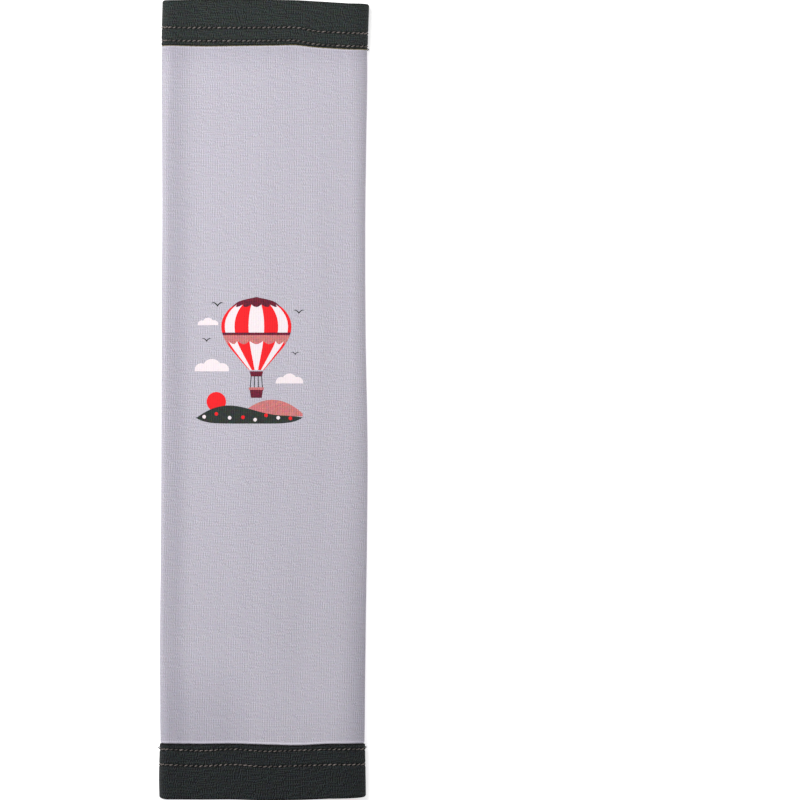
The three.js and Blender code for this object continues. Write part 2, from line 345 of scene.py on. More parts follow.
class StageSettings(bpy.types.PropertyGroup):
    """The camera and lights."""

    lens: bpy.props.FloatProperty(
        name="Lens", description="Focal length in millimetres", default=400, min=50
    )
    frame_width: bpy.props.FloatProperty(
        name="Frame", description="How much the picture shows across", default=0.330, unit="LENGTH"
    )
    camera_right: bpy.props.FloatProperty(
        name="Camera right", description="How far the picture's middle is right of the sleeve",
        default=0.0562, unit="LENGTH",
    )
    key_power: bpy.props.FloatProperty(
        name="Key", description="Power of the light from the upper left", default=4.6, unit="POWER"
    )
    sky: bpy.props.FloatProperty(
        name="Sky", description="Brightness of the light from all round", default=0.305
    )


def smooth_curves(rows, by):
    """A smooth curve through each column of a table, against the column named by."""
    places = np.array([row[by] for row in rows], float)

    def curve_of(column):
        values = np.array([row[column] for row in rows], float)
        slopes = np.gradient(values, places)

        def curve(at):
            at = np.clip(at, places[0], places[-1])
            i = np.clip(np.searchsorted(places, at, side="right") - 1, 0, len(places) - 2)
            span = places[i + 1] - places[i]
            t = (at - places[i]) / span
            rising = t * t * (3 - 2 * t)
            tangents = t * (1 - t) ** 2 * slopes[i] - t * t * (1 - t) * slopes[i + 1]
            return values[i] * (1 - rising) + values[i + 1] * rising + span * tangents

        return curve

    return {column: curve_of(column) for column in rows[0] if column != by}


def ease(t):
    """From 0 to 1 with soft ends."""
    t = np.clip(t, 0, 1)
    return t * t * (3 - 2 * t)


def mix(a, b, t):
    return a + (b - a) * t


def bell(distance):
    return np.exp(-distance * distance)


def towards_wrist(at, change):
    """From 0 to 1 towards the wrist, from a place on the sleeve on."""
    return ease((change["below"] - at) / change["over"])


@dataclass
class Ring:
    """Points round the sleeve. layer is -1 under, 0 in a side fold and 1 on top. turn is the angle at
    which a fold faces, from +X towards +Z. lift runs from 0 under to 1 on top."""

    girth: np.ndarray
    layer: np.ndarray
    across: np.ndarray
    turn: np.ndarray
    lift: np.ndarray


class SleeveForm:
    """The sleeve's outer skin. A place on it is a place round the sleeve (girth) and a place along
    it, and what is under it has a depth, measured square to the skin."""

    def __init__(self, sizes):
        self.sizes = sizes
        self.tuck_depth = sizes.cloth + sizes.clearance
        self.cuff_wall = self.tuck_depth + 2 * sizes.cloth + sizes.clearance
        self.hem_wall = 2 * sizes.cloth + sizes.ply_gap
        self.outline = smooth_curves(OUTLINE, "at")
        self.crown = smooth_curves(CROWN, "across")["height"]
        self.edges = {
            "upper": smooth_curves(UPPER_EDGES, "across"),
            "lower": smooth_curves(LOWER_EDGES, "across"),
        }
        self.cuffs = {"upper": sizes.upper_cuff, "lower": sizes.lower_cuff}
        self.to_hem = {"upper": 1, "lower": -1}
        self.stretches = self._stretches()
        self.girth = sum(self.stretches)

    def _stretches(self):
        """Lengths round the sleeve at mid-length: under, the right fold's two quarters, on top, and
        the left fold's two quarters."""
        s = self.section(np.array(0.0))
        quarter = math.pi / 4
        lengths = [
            s["right_edge"] - s["left_edge"] - s["left_radius"] - s["right_radius"],
            2 * quarter * s["right_radius"],
            quarter * (s["right_radius"] + s["right_reach"]),
            s["right_edge"] - s["left_edge"] - s["left_reach"] - s["right_reach"],
            quarter * (s["left_radius"] + s["left_reach"]),
            2 * quarter * s["left_radius"],
        ]
        return [float(length) for length in lengths]

    def ring(self, girth):
        """The points at these places round the sleeve."""
        girth = np.asarray(girth, float)
        ends = np.cumsum([0, *self.stretches])
        wrapped = np.mod(girth, self.girth)
        part = np.clip(np.searchsorted(ends, wrapped, side="right") - 1, 0, 5)
        t = (wrapped - ends[part]) / np.array(self.stretches)[part]
        layer = np.array([-1, 0, 0, 1, 0, 0])[part]
        across = np.choose(part, [2 * t - 1, 1 + 0 * t, 1 + 0 * t, 1 - 2 * t, 0 * t - 1, 0 * t - 1])
        turn_start = np.array([-0.5, -0.5, 0, 0.5, 0.5, 1])[part] * math.pi
        turn = np.where(layer == 0, turn_start + t * math.pi / 2, turn_start)
        return Ring(girth, layer, across, turn, (1 + np.sin(turn)) / 2)

    def waves(self, across, along):
        """What soft ridges, dents, puckers and long flutes add to the layer on top."""
        at = along / self.sizes.length + 0.5
        total = sum(
            row["rise"] * bell((across - row["across"]) / row["wide"]) * bell((at - row["at"]) / row["long"])
            for row in WAVES + PUCKERS
        )
        for row in FLUTES:
            wander = row["wander"] * np.sin(row["bends"] * at + row["bend_start"])
            total = total + row["rise"] * np.sin(row["waves"] * across + wander + row["start"])
        return self.sizes.tube_hollow * (1 - across**4) * total

    def section(self, along):
        """Edges, half heights and reaches of the side folds, and the walls' height, at these places."""
        sizes = self.sizes
        at = along / sizes.length + 0.5
        from_upper = sizes.length / 2 - sizes.upper_cuff - along
        from_lower = along + sizes.length / 2 - sizes.lower_cuff
        to_cuff = 1 - ease(np.minimum(from_upper, from_lower) / sizes.rise_length)
        wall = mix(sizes.cloth, self.cuff_wall, to_cuff)
        hollow = mix(sizes.tube_hollow, sizes.cuff_hollow, to_cuff)
        half = sizes.flat_width / 2
        return {
            "wall": wall,
            "hollow": hollow,
            "left_edge": -self.outline["left"](at) * half,
            "right_edge": self.outline["right"](at) * half,
            "left_radius": wall + hollow * self.crown(-1.0) / 2,
            "right_radius": wall + hollow * self.crown(1.0) / 2,
            "left_reach": wall + sizes.left_reach * (1 - LEFT_LOSS * towards_wrist(at, LEFT_SHRINKS)),
            "right_reach": wall + sizes.right_reach + sizes.wrist_reach * towards_wrist(at, RIGHT_GROWS),
        }

    def top_height(self, across, along, section):
        return 2 * section["wall"] + section["hollow"] * self.crown(across) + self.waves(across, along)

    def skin(self, ring, along):
        """Place and outward direction, as (x, z, outward x, outward z), at the ring's points. along
        has a row for each point of the ring."""
        s = self.section(along)
        across, turn = ring.across[:, None], ring.turn[:, None]
        layer = np.broadcast_to(ring.layer[:, None], along.shape)
        left = across < 0
        radius = np.where(left, s["left_radius"], s["right_radius"])
        high_reach = np.where(left, s["left_reach"], s["right_reach"])
        edge = np.where(left, s["left_edge"], s["right_edge"])
        reach = np.where(np.sin(turn) > 0, high_reach, radius)
        fold_x = edge - across * reach + reach * np.cos(turn)
        fold_z = radius * (1 + np.sin(turn))
        size = np.hypot(np.cos(turn) * radius, np.sin(turn) * reach)
        fold_out = (np.cos(turn) * radius / size, np.sin(turn) * reach / size)

        low_from, low_to = s["left_edge"] + s["left_radius"], s["right_edge"] - s["right_radius"]
        top_from, top_to = s["left_edge"] + s["left_reach"], s["right_edge"] - s["right_reach"]
        share = (1 + across) / 2
        nudge = 0.01
        before, after = np.maximum(across - nudge, -1), np.minimum(across + nudge, 1)
        climb = self.top_height(after, along, s) - self.top_height(before, along, s)
        run = (after - before) * (top_to - top_from) / 2
        size = np.hypot(climb, run)
        top_out = (-climb / size, run / size)

        under, over = layer < 0, layer > 0
        low_x, top_x = mix(low_from, low_to, share), mix(top_from, top_to, share)
        x = np.where(under, low_x, np.where(over, top_x, fold_x))
        z = np.where(under, 0, np.where(over, self.top_height(across, along, s), fold_z))
        out_x = np.where(under, 0, np.where(over, top_out[0], fold_out[0]))
        out_z = np.where(under, -1, np.where(over, top_out[1], fold_out[1]))
        return x, z, out_x, out_z

    def place(self, ring, along, depth):
        """Points under the skin, as an array of the shape of along and three coordinates."""
        x, z, out_x, out_z = self.skin(ring, along)
        return np.stack([x - out_x * depth, along, z - out_z * depth], axis=-1)

    def top_point(self, x, along, depth):
        """Points of the layer on top at these places across, and their places round the sleeve."""
        s = self.section(along)
        top_from, top_to = s["left_edge"] + s["left_reach"], s["right_edge"] - s["right_reach"]
        across = 2 * (x - top_from) / (top_to - top_from) - 1
        z = self.top_height(across, along, s) - depth
        girth = sum(self.stretches[:3]) + self.stretches[3] * (1 - across) / 2
        return np.stack([x, along, z], axis=-1), girth

    def seam(self, ring, end):
        past = 1 + self.edges[end]["seam"](ring.across)
        return self.to_hem[end] * (self.sizes.length / 2 - past * self.cuffs[end])

    def hem(self, ring, end):
        inside = mix(self.edges[end]["under"](ring.across), self.edges[end]["over"](ring.across), ring.lift)
        return self.to_hem[end] * (self.sizes.length / 2 - inside * self.cuffs[end])


class WayRound:
    """A line once round the sleeve, with its real length from the start to each place on it."""

    STEPS = 2880

    def __init__(self, form, along_of):
        self.form = form
        self.girth = np.linspace(0, form.girth, self.STEPS + 1)
        ring = form.ring(self.girth)
        points = form.place(ring, along_of(ring)[:, None], 0.0)[:, 0]
        steps = np.linalg.norm(np.diff(points, axis=0), axis=1)
        self.length = np.concatenate([[0], np.cumsum(steps)])
        self.total = self.length[-1]

    def length_at(self, girth):
        return np.interp(np.mod(girth, self.form.girth), self.girth, self.length)

    def girth_at(self, length):
        return np.interp(np.mod(length, self.total), self.length, self.girth)


class StitchRows:
    """The two rows of cover stitches of a cuff, each as a way round the sleeve."""

    def __init__(self, form, stitching, end):
        self.form, self.stitching, self.end = form, stitching, end
        self.ways = [WayRound(form, lambda ring, row=row: self.along(ring, row)) for row in ROWS]
        self.pitches = [way.total / stitching.per_row for way in self.ways]

    def from_seam(self, ring, row):
        """How far a row lies from the cuff's seam."""
        wander = sum(part["off"] * np.sin(ring.girth / part["length"] + part["start"]) for part in ROW_WANDER)
        near = (self.form.edges[self.end]["near"](ring.across) + wander) * MM
        apart = self.stitching.upper_rows if self.end == "upper" else self.stitching.lower_rows
        return near + row * apart

    def along(self, ring, row):
        return self.form.seam(ring, self.end) + self.form.to_hem[self.end] * self.from_seam(ring, row)

    def sunk(self, ring):
        """How deep the rows lie under the cuff's face."""
        return self.stitching.groove + self.stitching.pressed * (1 - ring.lift)

    def places(self, row, shift, above):
        """A point for each stitch of a row, this much of a pitch from the stitch's start and this high
        above the bottom of the groove."""
        length = (np.arange(self.stitching.per_row) + shift) * self.pitches[row]
        ring = self.form.ring(self.ways[row].girth_at(length))
        depth = self.sunk(ring) - above
        return self.form.place(ring, self.along(ring, row)[:, None], depth[:, None])[:, 0]

    def relief(self, ring, from_seam):
        """How the rows shape the cuff's face, and how much painted shade lies in their grooves and needle
        holes.
        """
        to_hem = self.form.to_hem[self.end]
        relief, pit = 0 * from_seam, 0 * from_seam
        for row in ROWS:
            phase = self.ways[row].length_at(ring.girth)[:, None] / self.pitches[row]
            right = -(phase - np.round(phase)) * self.pitches[row]
            off_row = from_seam - self.from_seam(ring, row)[:, None]
            up = to_hem * off_row + HOLE_UP
            lengthwise = right * math.cos(HOLE_SLOPE) + up * math.sin(HOLE_SLOPE)
            sideways = up * math.cos(HOLE_SLOPE) - right * math.sin(HOLE_SLOPE)
            hole = bell(lengthwise / HOLE_LONG) * bell(sideways / HOLE_WIDE)
            relief -= self.sunk(ring)[:, None] * bell(off_row / GROOVE_WIDE) + self.stitching.hole * hole
            relief += BANK_RISE * bell((np.abs(off_row) - BANK_OFF) / BANK_WIDE)
            pit = np.maximum(pit, np.maximum(hole, GROOVE_DARK * bell(off_row / GROOVE_DARK_WIDE)))
        return relief, pit


def stations(knots, steps, spread=()):
    """Places from knot to knot, with so many steps between each two, for each point of a ring. spread
    names the stretches whose steps are closer together at both ends."""
    parts = []
    for i, count in enumerate(steps):
        share = np.arange(count) / count
        if i in spread:
            share = (1 - np.cos(math.pi * share)) / 2
        parts.append(mix(knots[i][:, None], knots[i + 1][:, None], share))
    parts.append(knots[-1][:, None])
    return np.concatenate(parts, axis=1)


@dataclass
class ClothSection:
    """The outline of a layer of cloth, for each point of a ring: the places along and the depths, how
    far each point is along the cloth, and how many of the points are on the face that shows."""

    along: np.ndarray
    depth: np.ndarray
    cloth_length: np.ndarray
    shown: int


def cloth_section(along, depth, thickness, relief, hidden_step):
    """The outline round a layer of cloth from its middle line: the face that shows, with its relief, a
    rounded edge, the hidden face with every hidden_step'th point, and the other edge."""
    run, fall = np.gradient(along, axis=1), np.gradient(depth, axis=1)
    size = np.hypot(run, fall)
    run, fall = run / size, fall / size
    half = thickness / 2
    last = along.shape[1] - 1
    kept = [*range(last, 0, -hidden_step), 0]
    steps = np.hypot(np.diff(along, axis=1), np.diff(depth, axis=1))
    length = np.concatenate([0 * along[:, :1], np.cumsum(steps, axis=1)], axis=1)

    def edge(i, way):
        turns = np.radians([45, 90, 135])[None, :]
        out, up = way * half * np.sin(turns), way * half * np.cos(turns)
        edge_along = along[:, i, None] + out * run[:, i, None] + up * fall[:, i, None]
        edge_depth = depth[:, i, None] + out * fall[:, i, None] - up * run[:, i, None]
        return edge_along, edge_depth, length[:, i, None] + 0 * out

    parts = [
        (along + fall * (half + relief), depth - run * (half + relief), length),
        edge(last, 1),
        ((along - fall * half)[:, kept], (depth + run * half)[:, kept], length[:, kept]),
        edge(0, -1),
    ]
    columns = [np.concatenate(column, axis=1) for column in zip(*parts)]
    return ClothSection(*columns, shown=last + 1)


def new_piece(name, vertices, faces, knit_places=None):
    """A smooth mesh piece. knit_places gives each vertex its place on the knit, in metres."""
    mesh = bpy.data.meshes.new(name)
    mesh.from_pydata(np.asarray(vertices, float).reshape(-1, 3).tolist(), [], np.asarray(faces).tolist())
    if knit_places is not None:
        corners = np.empty(len(mesh.loops), np.int32)
        mesh.loops.foreach_get("vertex_index", corners)
        places = np.asarray(knit_places, np.float32).reshape(-1, 2)[corners]
        mesh.uv_layers.new(name="Knit").data.foreach_set("uv", places.ravel())
    mesh.shade_smooth()
    piece = bpy.data.objects.new(name, mesh)
    bpy.context.scene.collection.objects.link(piece)
    return piece


def band_piece(name, points, cloth_length, inside_out=False):
    """A closed band from rows of points, one row for each place round the sleeve. Its map Knit holds
    the length round the sleeve, from the middle of the layer on top, and along the cloth."""
    around, count = points.shape[:2]
    i, j = np.meshgrid(np.arange(around), np.arange(count), indexing="ij")
    next_i, next_j = (i + 1) % around, (j + 1) % count
    corners = [(i, j), (i, next_j), (next_i, next_j), (next_i, j)]
    if inside_out:
        corners = corners[::-1]
    faces = np.stack([a * count + b for a, b in corners], axis=-1).reshape(-1, 4)
    piece = new_piece(name, points, faces)
    steps = np.linalg.norm(points[next_i[:, 0]] - points, axis=-1)
    round_length = np.concatenate([0 * steps[:1], np.cumsum(steps, axis=0)])
    middle = np.argmin(np.abs(points[:, 0, 0]) - 10 * points[:, 0, 2])
    round_length -= round_length[middle]
    u = np.stack([round_length[i + (a is next_i), b] for a, b in corners], axis=-1)
    v = np.stack([cloth_length[a, b] for a, b in corners], axis=-1)
    knit_map = piece.data.uv_layers.new(name="Knit")
    knit_map.data.foreach_set("uv", np.stack([u, v], axis=-1).astype(np.float32).ravel())
    return piece


def store(piece, name, values):
    attribute = piece.data.attributes.new(name, "FLOAT", "POINT")
    attribute.data.foreach_set("value", np.asarray(values, np.float32).ravel())


def finish_piece(piece, material, replaced=None):
    piece.data.materials.clear()
    piece.data.materials.append(material)
    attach(piece, BODY)
    if replaced:
        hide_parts(replaced)


class Nodes:
    """Short calls for building a node tree."""

    def __init__(self, tree):
        self.tree = tree

    def add(self, kind, inputs=None, **settings):
        node = self.tree.nodes.new(kind)
        for name, value in settings.items():
            setattr(node, name, value)
        for name, value in (inputs or {}).items():
            self.feed(node.inputs[name], value)
        return node

    def feed(self, socket, value):
        if isinstance(value, bpy.types.NodeSocket):
            self.tree.links.new(value, socket)
        else:
            socket.default_value = value

    def maths(self, operation, *values):
        node = self.add("ShaderNodeMath", operation=operation)
        for socket, value in zip(node.inputs, values):
            self.feed(socket, value)
        return node.outputs[0]

    def mix_colour(self, share, a, b, blend="MIX"):
        node = self.add("ShaderNodeMix", data_type="RGBA", blend_type=blend)
        for name, value in (("Factor_Float", share), ("A_Color", a), ("B_Color", b)):
            self.feed(next(s for s in node.inputs if s.identifier == name), value)
        return next(s for s in node.outputs if s.identifier == "Result_Color")

    def attribute(self, name):
        return self.add("ShaderNodeAttribute", attribute_name=name).outputs["Fac"]


def opaque(colour, factor=1.0):
    return (*(channel * factor for channel in colour), 1.0)


def new_material(name, roughness, sheen):
    material = bpy.data.materials.new(name)
    material.use_nodes = True
    nodes = Nodes(material.node_tree)
    shader = material.node_tree.nodes["Principled BSDF"]
    shader.inputs["Roughness"].default_value = roughness
    shader.inputs["Sheen Weight"].default_value = sheen
    shader.inputs["Sheen Roughness"].default_value = 0.5
    shader.inputs["Specular IOR Level"].default_value = 0.2
    return material, nodes, shader


@dataclass
class KnitLook:
    """How a knit looks. uneven is how much its loops differ, contrast how much darker it is between its
    columns of loops, speckle how much it is mottled, and bump how high its loops are, in metres."""

    uneven: float
    contrast: float
    speckle: float
    sheen: float
    bump: float


TUBE_LOOK = KnitLook(uneven=5.5, contrast=0.23, speckle=0.06, sheen=0.1, bump=0.00003)
CUFF_LOOKS = {
    "upper": KnitLook(uneven=14.0, contrast=0.75, speckle=0.3, sheen=0.02, bump=0.00002),
    "lower": KnitLook(uneven=14.0, contrast=1.15, speckle=0.3, sheen=0.02, bump=0.00002),
}


def knit_face(nodes, wale, course, uneven):
    """The knit's face on the map Knit, whose columns of loops lean a little. uneven is how much the
    loops differ. It gives the loops' height round 0.5, and a mottle of three channels round 0.5."""
    place = nodes.add("ShaderNodeUVMap", uv_map="Knit").outputs["UV"]
    split = nodes.add("ShaderNodeSeparateXYZ", {"Vector": place})
    wales = nodes.maths("DIVIDE", split.outputs["X"], wale)
    courses = nodes.maths("DIVIDE", split.outputs["Y"], course)

    def noise(per_wale, per_course, detail):
        x = nodes.maths("MULTIPLY", wales, per_wale)
        y = nodes.maths("MULTIPLY", courses, per_course)
        spot = nodes.add("ShaderNodeCombineXYZ", {"X": x, "Y": y})
        return nodes.add("ShaderNodeTexNoise", {"Vector": spot.outputs[0], "Detail": detail}).outputs[0]

    leaning = nodes.maths("MULTIPLY_ADD", noise(0.12, 0.03, 1.0), COLUMN_WANDER, wales)
    column = nodes.maths("COSINE", nodes.maths("MULTIPLY", leaning, 2 * math.pi))
    slanted = nodes.maths("MULTIPLY_ADD", nodes.maths("PINGPONG", leaning, 0.5), LEG_STEEPNESS, courses)
    leg = nodes.maths("SINE", nodes.maths("MULTIPLY", nodes.maths("FRACT", slanted), math.pi))

    def chance(columns, shift):
        """A chance value and colour for each cell that is so many columns wide and part of a row high.
        The cells climb to the left, so that they don't stand in columns of their own."""
        shifted = nodes.maths("MULTIPLY_ADD", courses, CELL_CLIMB, shift)
        wide = nodes.maths("FLOOR", nodes.maths("MULTIPLY_ADD", leaning, 1 / columns, shifted))
        high = nodes.maths("FLOOR", nodes.maths("MULTIPLY", slanted, CELLS_PER_ROW))
        cell = nodes.add("ShaderNodeCombineXYZ", {"X": wide, "Y": high})
        node = nodes.add("ShaderNodeTexWhiteNoise", {"Vector": cell.outputs[0]}, noise_dimensions="2D")
        return node.outputs["Value"], node.outputs["Color"]

    streak = nodes.maths("ADD", noise(0.14, 0.04, 2.0), 0.55 - uneven / 2)
    strength = nodes.maths("MULTIPLY_ADD", chance(2, 0.25)[0], uneven, streak)
    strength = nodes.maths("MINIMUM", nodes.maths("MAXIMUM", strength, -STRONGEST_LOOP), STRONGEST_LOOP)
    rounded = nodes.maths("MULTIPLY", nodes.maths("MULTIPLY_ADD", leg, LEG_DEPTH, COLUMN_DEPTH), strength)
    loops = nodes.maths("MULTIPLY_ADD", column, rounded, 0.5)
    return loops, chance(1, 0.5)[1]


def knit_colour(nodes, colour, loops, mottle, contrast, speckle):
    """A knit's colour. contrast is how much darker it is between its columns of loops, and speckle how
    much it is mottled."""
    shade = nodes.maths("MAXIMUM", nodes.maths("MULTIPLY_ADD", loops, contrast, 1 - contrast * 0.5), 0.05)
    base = nodes.mix_colour(speckle, opaque(colour, 1 / (1 - speckle / 2)), mottle, "MULTIPLY")
    return nodes.mix_colour(1.0, base, shade, "MULTIPLY")


def knit_material(name, colour, knit, look):
    """A matte knit. Two of its attributes darken it with painted shade, in the cuffs' pits, seams and hems
    and beside the tube's folds and seams, and one lightens it with a painted highlight beside the tube's
    seams.
    """
    material, nodes, shader = new_material(name, 0.9, look.sheen)
    loops, mottle = knit_face(nodes, knit.wale, knit.course, look.uneven)
    base = knit_colour(nodes, colour, loops, mottle, look.contrast, look.speckle)
    # Painted shade in the cuffs' pits, seams and hems, a painted highlight beside the tube's seams, and
    # painted shade beside the tube's folds and seams.
    base = nodes.mix_colour(nodes.attribute("pit"), base, opaque(colour, PAINTED_CUFF_SHADE_TONE))
    base = nodes.mix_colour(nodes.attribute("pulled"), base, opaque(colour, SEAM_HIGHLIGHT_TONE))
    base = nodes.mix_colour(nodes.attribute("creased"), base, PAINTED_TUBE_SHADE_TINT, "MULTIPLY")
    nodes.feed(shader.inputs["Base Color"], base)
    relief = nodes.add("ShaderNodeBump", {"Strength": 0.7, "Distance": look.bump, "Height": loops})
    nodes.feed(shader.inputs["Normal"], relief.outputs["Normal"])
    return material


def thread_material(name, colour):
    """Twisted sewing thread, from the attributes lengthwise, round and shade of its mesh, with painted shade
    between its plies and a painted highlight on them.
    """
    material, nodes, shader = new_material(name, 0.62, 0.1)
    turns = nodes.maths(
        "ADD",
        nodes.maths("DIVIDE", nodes.attribute("lengthwise"), TWIST_LENGTH),
        nodes.maths("MULTIPLY", nodes.attribute("round"), 2),
    )
    # Painted shade between the plies and a painted highlight on their crowns.
    ply = nodes.maths("SINE", nodes.maths("MULTIPLY", nodes.maths("FRACT", turns), math.pi))
    light = nodes.mix_colour(ply, *(opaque(colour, tone) for tone in PLY_SHADE_AND_HIGHLIGHT_TONES))
    tone = nodes.maths("MULTIPLY_ADD", nodes.attribute("shade"), 1.0, 0.5)
    nodes.feed(shader.inputs["Base Color"], nodes.mix_colour(1.0, light, tone, "MULTIPLY"))
    bump = nodes.add("ShaderNodeBump", {"Strength": 0.7, "Distance": 0.00006, "Height": ply})
    nodes.feed(shader.inputs["Normal"], bump.outputs["Normal"])
    return material


def print_material(name, colour, knit, contrast):
    """Print pressed into the knit, which shows through it."""
    material, nodes, shader = new_material(name, 0.75, 0.0)
    loops, mottle = knit_face(nodes, knit.wale, knit.course, PRINT_UNEVEN)
    nodes.feed(shader.inputs["Base Color"], knit_colour(nodes, colour, loops, mottle, contrast, contrast))
    bump = nodes.add("ShaderNodeBump", {"Strength": 0.4, "Distance": 0.00008, "Height": loops})
    nodes.feed(shader.inputs["Normal"], bump.outputs["Normal"])
    return material


class SLEEVE_OT_tube(bpy.types.Operator):
    """Make the knit tube, with its edges tucked into the cuffs"""

    bl_idname = "sleeve.tube"
    bl_label = "Knit tube"

    def execute(self, context):
        sizes = context.scene.sleeve_sizes
        form = SleeveForm(sizes)
        around = 360
        girth = np.arange(around) / around * form.girth
        ring = form.ring(girth)
        lower, upper = form.seam(ring, "lower"), form.seam(ring, "upper")
        # The tube steps down under a cuff within step, and is sunk and gathered beside the seam, up to
        # about reach.
        step, sunk, reach = 0.0008, 0.00022, 0.006
        behind = sizes.clearance / 2
        knots = [
            lower - sizes.seam_allowance + sizes.cloth / 2,
            lower - behind,
            lower + step,
            upper - step,
            upper + behind,
            upper + sizes.seam_allowance - sizes.cloth / 2,
        ]
        along = stations(knots, [4, 8, 96, 8, 4], spread=[2])
        from_lower, from_upper = along - lower[:, None], upper[:, None] - along
        from_seam = np.minimum(from_lower, from_upper)
        tucked = 1 - ease((from_seam + behind) / (step + behind))
        near_seam = bell(np.maximum(from_seam, 0) / reach)
        depth = sizes.cloth / 2 + sunk * near_seam
        depth = mix(depth, form.tuck_depth + sizes.cloth / 2, tucked)
        gather_height = 0.00003
        gathers = np.sin(girth / 0.00072) + 0.7 * np.sin(girth / 0.00113 + 2)
        relief = gather_height * gathers[:, None] * near_seam * (1 - tucked)
        cloth = cloth_section(along, depth, sizes.cloth, relief, hidden_step=2)
        points = form.place(ring, cloth.along, cloth.depth)
        tube = band_piece("knit_tube", points, cloth.along)
        # A painted highlight: a pale line on the knit just beside each seam.
        pulled = np.zeros(cloth.along.shape)
        pulled[:, : cloth.shown] = sum(
            line["share"] * bell((from_end - line["off"]) / line["wide"])
            for line, from_end in ((SEAM_HIGHLIGHT_LINES["upper"], from_upper), (SEAM_HIGHLIGHT_LINES["lower"], from_lower))
        )
        store(tube, "pulled", pulled)
        # Painted shade on the knit beside its folds and under the seams.
        store(tube, "creased", self.creased(form, points))
        knit = context.scene.knit_settings
        material = knit_material("Lavender knit", tuple(knit.tube_colour), knit, TUBE_LOOK)
        finish_piece(tube, material, "sleeve_body")
        return {"FINISHED"}

    def creased(self, form, points):
        """The painted shade on the knit beside its folds and under the seams, where it lies hollow."""
        x, y = points[..., 0], points[..., 1]
        at = y / form.sizes.length + 0.5
        edges = form.section(y)
        from_left, from_right = x - edges["left_edge"], edges["right_edge"] - x
        from_upper = form.sizes.length / 2 - form.sizes.upper_cuff - y
        shade = PAINTED_FOLD_SHADES["left"]
        left = shade["share"] * bell((from_left - shade["off"]) / shade["wide"])
        shade = PAINTED_FOLD_SHADES["right"]
        inwards = np.maximum(from_right - shade["off"], 0)
        right = towards_wrist(at, shade) * bell(inwards / shade["wide"])
        shade = PAINTED_SEAM_SHADES["upper"]
        upper = shade["share"] * bell(from_upper / shade["wide"])
        shade = PAINTED_SEAM_SHADES["lower"]
        beside_left = 1 - ease((from_left - shade["off"]) / shade["wide"])
        lower = shade["share"] * towards_wrist(at, shade) * beside_left
        return left + right + upper + lower


class SLEEVE_OT_cuffs(bpy.types.Operator):
    """Make the two folded cuffs, with the grooves and needle holes of their stitching"""

    bl_idname = "sleeve.cuffs"
    bl_label = "Folded cuffs"

    def execute(self, context):
        knit = context.scene.knit_settings
        colours = {"upper": knit.upper_cuff_colour, "lower": knit.lower_cuff_colour}
        for end in ENDS:
            material = knit_material(f"Dark green knit {end}", tuple(colours[end]), knit, CUFF_LOOKS[end])
            self.make_cuff(context, end, material)
        return {"FINISHED"}

    def make_cuff(self, context, end, material):
        sizes, stitching = context.scene.sleeve_sizes, context.scene.stitch_settings
        form = SleeveForm(sizes)
        rows = StitchRows(form, stitching, end)
        points_per_stitch = 8
        around = points_per_stitch * stitching.per_row
        ring = form.ring(rows.ways[0].girth_at(np.arange(around) / around * rows.ways[0].total))
        seam, to_hem = form.seam(ring, end), form.to_hem[end]
        depth_of_cuff = (form.hem(ring, end) - seam) * to_hem
        near, far = rows.from_seam(ring, 0), rows.from_seam(ring, 1)
        half_cloth, hem_radius = sizes.cloth / 2, form.hem_wall / 2
        fold_start = depth_of_cuff - hem_radius
        start = half_cloth + 0 * seam
        # The places along are close together within this distance of a row of stitches.
        beside = 0.0008
        outer = stations(
            [
                start,
                np.maximum(near - beside, start + 0.0001),
                near + beside,
                far - beside,
                far + beside,
                fold_start,
            ],
            [3, 10, 9, 10, {"upper": 14, "lower": 18}[end]],
        )
        turns = np.linspace(-math.pi / 2, math.pi / 2, 11)[None, 1:]
        fold_radius = hem_radius - half_cloth
        fold_along = fold_start[:, None] + fold_radius * np.cos(turns)
        fold_depth = hem_radius + fold_radius * np.sin(turns) + 0 * fold_along
        tube_edge = sizes.seam_allowance + sizes.clearance
        step_end = np.minimum(tube_edge + 0.0018, fold_start - 0.0004)
        inner = stations([fold_start, step_end, tube_edge + 0 * seam, start], [6, 6, 10])[:, 1:]
        climbing = ease((step_end[:, None] - inner) / (step_end - tube_edge)[:, None])
        inner_depth = mix(form.hem_wall - half_cloth, form.cuff_wall - half_cloth, climbing)

        from_seam = np.concatenate([outer, fold_along, inner], axis=1)
        depth = np.concatenate([half_cloth + 0 * outer, fold_depth, inner_depth], axis=1)
        row_relief, pit = rows.relief(ring, outer)
        relief = np.zeros(from_seam.shape)
        relief[:, : outer.shape[1]] = row_relief
        cloth = cloth_section(from_seam, depth, sizes.cloth, relief, hidden_step=4)
        points = form.place(ring, seam[:, None] + to_hem * cloth.along, cloth.depth)
        cuff = band_piece(f"{end}_cuff_band", points, cloth.cloth_length, to_hem < 0)
        # Painted shade at the seam, along the hem fold, and in the grooves and needle holes.
        at_seam = 1 - ease((cloth.along - SEAM_DARK[end]) / SEAM_FADE)
        at_hem = HEM_DARK * bell((depth_of_cuff[:, None] - cloth.along) / HEM_DARK_WIDE)
        painted_cuff_shades = np.maximum(at_seam, at_hem)
        painted_cuff_shades[:, : pit.shape[1]] = np.maximum(painted_cuff_shades[:, : pit.shape[1]], pit)
        store(cuff, "pit", painted_cuff_shades)
        finish_piece(cuff, material, f"{end}_cuff")


